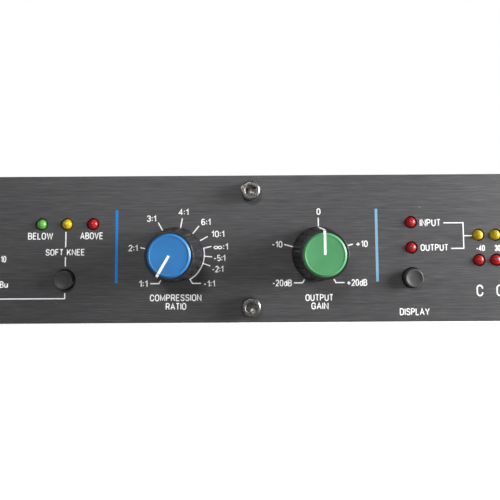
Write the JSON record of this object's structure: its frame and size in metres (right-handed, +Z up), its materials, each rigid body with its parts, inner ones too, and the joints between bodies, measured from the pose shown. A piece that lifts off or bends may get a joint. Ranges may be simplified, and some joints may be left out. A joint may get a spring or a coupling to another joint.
{
  "type": "rack compressor",
  "caption": "Low rack-mount compressor with a brushed black panel, ribbed control knobs, push buttons and lamp meters on a folded steel case with rear audio and mains connectors.",
  "frame": {"origin": "centre of the rack mounting face: the rear face of the front panel, at mid-width and mid-height", "axes": "+X to the right seen from the front, +Y towards the rear, +Z up; the front faces -Y"},
  "size_m": [0.4826, 0.2266, 0.0436],
  "materials": {
    "panel_anodised": "black anodised, brushed along its length",
    "case_paint": "fine-textured black paint",
    "screw_steel": "zinc plated, worn",
    "knob_black": "satin",
    "cap_red": "satin",
    "cap_blue": "satin",
    "cap_green": "satin",
    "shaft_metal": "turned",
    "plated_metal": "nickel plated",
    "button_black": "satin",
    "spring_steel": "bright",
    "lamp_green": "translucent epoxy",
    "lamp_yellow": "translucent epoxy",
    "lamp_red": "translucent epoxy",
    "circuit_board": "solder mask over glass laminate",
    "chip_black": "moulded",
    "capacitor_sleeve": "printed sleeve",
    "film_red": "dipped",
    "resistor_tan": "lacquered",
    "sink_black": "black anodised",
    "ribbon_grey": "ribbed flat cable",
    "core_iron": "varnished laminations",
    "winding_tape": "polyester tape",
    "connector_metal": "black plated die casting",
    "connector_plastic": "moulded",
    "contact_metal": "silver plated"
  },
  "bodies": {
    "case": {"front_panel": "panel_anodised", "panel_screws": "screw_steel", "clinch_nuts": "screw_steel", "chassis_base": "case_paint", "top_cover": "case_paint", "rear_panel": "case_paint", "cover_screws": "screw_steel", "rear_screws": "screw_steel", "board_screws": "screw_steel", "board_standoffs": "contact_metal", "main_board": "circuit_board", "front_board": "circuit_board", "potentiometers": "plated_metal", "pot_nuts": "plated_metal", "switch_housings": "connector_plastic", "green_lamps": "lamp_green", "yellow_lamps": "lamp_yellow", "red_lamps": "lamp_red", "level_meter_lamps": "lamp_yellow", "reduction_meter_lamps": "lamp_red", "filter_capacitors": "capacitor_sleeve", "heat_sink": "sink_black", "regulators": "chip_black", "integrated_circuits": "chip_black", "film_capacitors": "film_red", "resistors": "resistor_tan", "ribbon_cable": "ribbon_grey", "transformer_core": "core_iron", "transformer_winding": "winding_tape", "output_plug_shell": "connector_metal", "output_plug_pins": "contact_metal", "input_socket_shell": "connector_metal", "jack_bushings": "plated_metal", "jack_bodies": "connector_plastic", "lift_switch_frame": "plated_metal", "fuse_holder": "connector_plastic", "mains_inlet": "connector_plastic", "inlet_pins": "contact_metal", "soft_knee_spring": "spring_steel", "display_spring": "spring_steel", "bypass_spring": "spring_steel", "link_spring": "spring_steel", "power_spring": "spring_steel"},
    "input_latch": {"input_latch": "plated_metal"},
    "lift_slider": {"lift_slider": "connector_plastic"},
    "fuse_cap": {"fuse_cap": "connector_plastic"},
    "threshold_knob": {"threshold_knob": "knob_black", "threshold_knob_cap": "cap_red", "threshold_shaft": "shaft_metal"},
    "ratio_knob": {"ratio_knob": "knob_black", "ratio_knob_cap": "cap_blue", "ratio_shaft": "shaft_metal"},
    "gain_knob": {"gain_knob": "knob_black", "gain_knob_cap": "cap_green", "gain_shaft": "shaft_metal"},
    "soft_knee_button": {"soft_knee_button": "button_black"},
    "display_button": {"display_button": "button_black"},
    "bypass_button": {"bypass_button": "button_black"},
    "link_button": {"link_button": "button_black"},
    "power_button": {"power_button": "button_black"}
  },
  "joints": [
    {"name": "threshold_knob_turn", "type": "hinge", "parent": "case", "child": "threshold_knob", "pos_m": [-0.0878, 0, -0.0017], "axis": [0, 1, 0], "range_deg": [-150, 150]},
    {"name": "ratio_knob_turn", "type": "hinge", "parent": "case", "child": "ratio_knob", "pos_m": [-0.0224, 0, -0.0017], "axis": [0, 1, 0], "range_deg": [0, 300]},
    {"name": "gain_knob_turn", "type": "hinge", "parent": "case", "child": "gain_knob", "pos_m": [0.02025, 0, -0.0017], "axis": [0, 1, 0], "range_deg": [-150, 150]},
    {"name": "soft_knee_button_press", "type": "slide", "parent": "case", "child": "soft_knee_button", "axis": [0, 1, 0], "range_m": [0, 0.002], "stiffness_N_per_m": 400, "springref_m": -0.002, "deforming": ["soft_knee_spring"]},
    {"name": "display_button_press", "type": "slide", "parent": "case", "child": "display_button", "axis": [0, 1, 0], "range_m": [0, 0.002], "stiffness_N_per_m": 400, "springref_m": -0.002, "deforming": ["display_spring"]},
    {"name": "bypass_button_press", "type": "slide", "parent": "case", "child": "bypass_button", "axis": [0, 1, 0], "range_m": [0, 0.002], "stiffness_N_per_m": 400, "springref_m": -0.002, "deforming": ["bypass_spring"]},
    {"name": "link_button_press", "type": "slide", "parent": "case", "child": "link_button", "axis": [0, 1, 0], "range_m": [0, 0.002], "stiffness_N_per_m": 400, "springref_m": -0.002, "deforming": ["link_spring"]},
    {"name": "power_button_press", "type": "slide", "parent": "case", "child": "power_button", "axis": [0, 1, 0], "range_m": [0, 0.002], "stiffness_N_per_m": 400, "springref_m": -0.002, "deforming": ["power_spring"]},
    {"name": "input_latch_press", "type": "slide", "parent": "case", "child": "input_latch", "axis": [0, -1, 0], "range_m": [0, 0.0015], "stiffness_N_per_m": 600, "springref_m": -0.001},
    {"name": "lift_slider_slide", "type": "slide", "parent": "case", "child": "lift_slider", "axis": [1, 0, 0], "range_m": [0, 0.004]},
    {"name": "fuse_cap_turn", "type": "hinge", "parent": "case", "child": "fuse_cap", "pos_m": [0.127, 0.2, 0], "axis": [0, 1, 0], "range_deg": [0, 60]}
  ]
}
